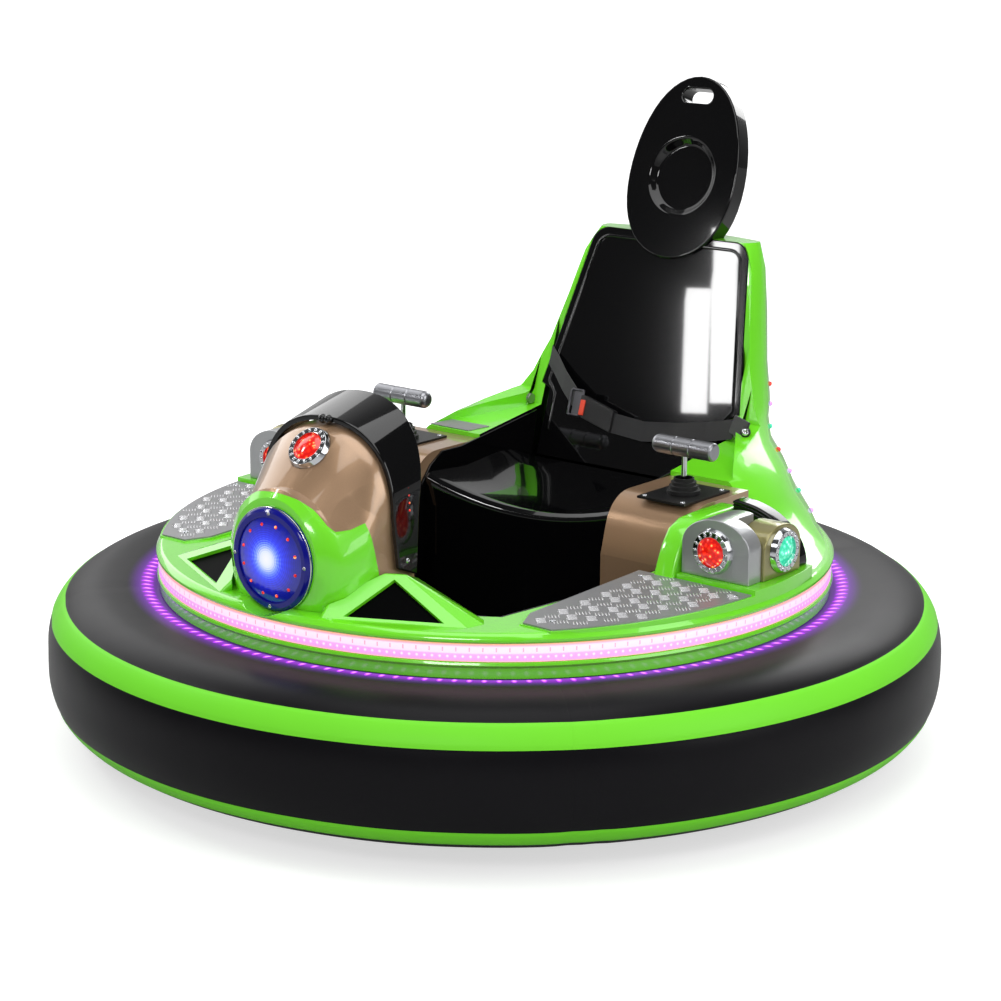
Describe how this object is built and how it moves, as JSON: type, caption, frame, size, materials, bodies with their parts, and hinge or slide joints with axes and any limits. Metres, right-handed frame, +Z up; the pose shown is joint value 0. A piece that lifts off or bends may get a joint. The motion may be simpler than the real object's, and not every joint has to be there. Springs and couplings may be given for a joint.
{
  "type": "inflatable ring bumper car",
  "caption": "Ride-on bumper car: round body in an inflatable ring, bucket seat with arm rests and headrest, twin tilting levers, lamp pods, free-turning wheels under the floor.",
  "frame": {"origin": "on the floor under the centre of the inflatable ring", "axes": "+Z up, front of the car towards -Y, driver's left towards +X"},
  "size_m": [1.9498, 1.9498, 1.3722],
  "materials": {
    "ring_black": "satin",
    "ring_green": "satin",
    "body_green": "gloss",
    "gloss_black": "gloss",
    "bronze": "metallic gloss",
    "silver_grey": "metallic gloss",
    "olive_gold": "metallic gloss",
    "window_black": "gloss",
    "lamp_navy": "gloss",
    "lens_blue": "gloss",
    "lens_red": "gloss",
    "lens_green": "gloss",
    "led_pink": "translucent",
    "chrome": "polished",
    "tread_aluminium": "five-bar tread",
    "grip_metal": "satin",
    "boot_rubber": "matt",
    "plate_black": "satin",
    "belt_web": "woven",
    "belt_plastic": "matt",
    "belt_steel": "satin",
    "chassis_steel": "satin",
    "zinc_steel": "zinc plated",
    "wheel_tyre": "solid rubber",
    "battery_grey": "matt"
  },
  "bodies": {
    "car": {"inflatable_ring": "ring_black", "ring_stripes": "ring_green", "ring_seat": "body_green", "body_rim": "body_green", "led_strip": "led_pink", "tub": "gloss_black", "seat_bench": "gloss_black", "seat_back": "gloss_black", "seat_shell": "body_green", "headrest": "gloss_black", "front_apron": "body_green", "window_panels": "window_black", "nose": "body_green", "cowl": "bronze", "hood_band": "gloss_black", "headlamp_housing": "lamp_navy", "headlamp_lens": "lens_blue", "cowl_lamp_bezel": "chrome", "cowl_lamp_lens": "lens_red", "console_left": "bronze", "console_right": "bronze", "lever_base_left": "plate_black", "lever_base_right": "plate_black", "boot_left": "boot_rubber", "boot_right": "boot_rubber", "silver_pods": "silver_grey", "olive_pods": "olive_gold", "pod_arches": "gloss_black", "pod_bezels": "chrome", "pod_red_lenses": "lens_red", "pod_green_lenses": "lens_green", "tread_plates": "tread_aluminium", "belt_straps": "belt_web", "belt_buckle": "belt_plastic", "belt_tongue": "belt_steel", "belt_anchors": "zinc_steel", "chassis_plate": "chassis_steel", "drive_motors": "chassis_steel", "battery": "battery_grey"},
    "left_lever": {"lever_left": "chrome", "grip_left": "grip_metal"},
    "right_lever": {"lever_right": "chrome", "grip_right": "grip_metal"},
    "left_drive_wheel": {"drive_wheel_left": "wheel_tyre"},
    "right_drive_wheel": {"drive_wheel_right": "wheel_tyre"},
    "front_castor": {"castor_fork_front": "zinc_steel"},
    "rear_castor": {"castor_fork_rear": "zinc_steel"},
    "front_castor_wheel": {"castor_wheel_front": "wheel_tyre"},
    "rear_castor_wheel": {"castor_wheel_rear": "wheel_tyre"}
  },
  "joints": [
    {"name": "left_lever_tilt", "type": "hinge", "parent": "car", "child": "left_lever", "pos_m": [0.397, 0.146, 0.57], "axis": [1, 0, 0], "range_deg": [-15, 15], "stiffness_Nm_per_rad": 8},
    {"name": "right_lever_tilt", "type": "hinge", "parent": "car", "child": "right_lever", "pos_m": [-0.397, 0.146, 0.57], "axis": [1, 0, 0], "range_deg": [-15, 15], "stiffness_Nm_per_rad": 8},
    {"name": "left_drive_spin", "type": "hinge", "parent": "car", "child": "left_drive_wheel", "pos_m": [0.41, 0.152, 0.1], "axis": [1, 0, 0], "continuous": true},
    {"name": "right_drive_spin", "type": "hinge", "parent": "car", "child": "right_drive_wheel", "pos_m": [-0.41, 0.152, 0.1], "axis": [1, 0, 0], "continuous": true},
    {"name": "front_castor_swivel", "type": "hinge", "parent": "car", "child": "front_castor", "pos_m": [0, -0.45, 0.15], "axis": [0, 0, 1], "continuous": true},
    {"name": "front_castor_roll", "type": "hinge", "parent": "front_castor", "child": "front_castor_wheel", "pos_m": [0, -0.416, 0.048], "axis": [1, 0, 0], "continuous": true},
    {"name": "rear_castor_swivel", "type": "hinge", "parent": "car", "child": "rear_castor", "pos_m": [0, 0.5, 0.15], "axis": [0, 0, 1], "continuous": true},
    {"name": "rear_castor_roll", "type": "hinge", "parent": "rear_castor", "child": "rear_castor_wheel", "pos_m": [0, 0.534, 0.048], "axis": [1, 0, 0], "continuous": true}
  ]
}
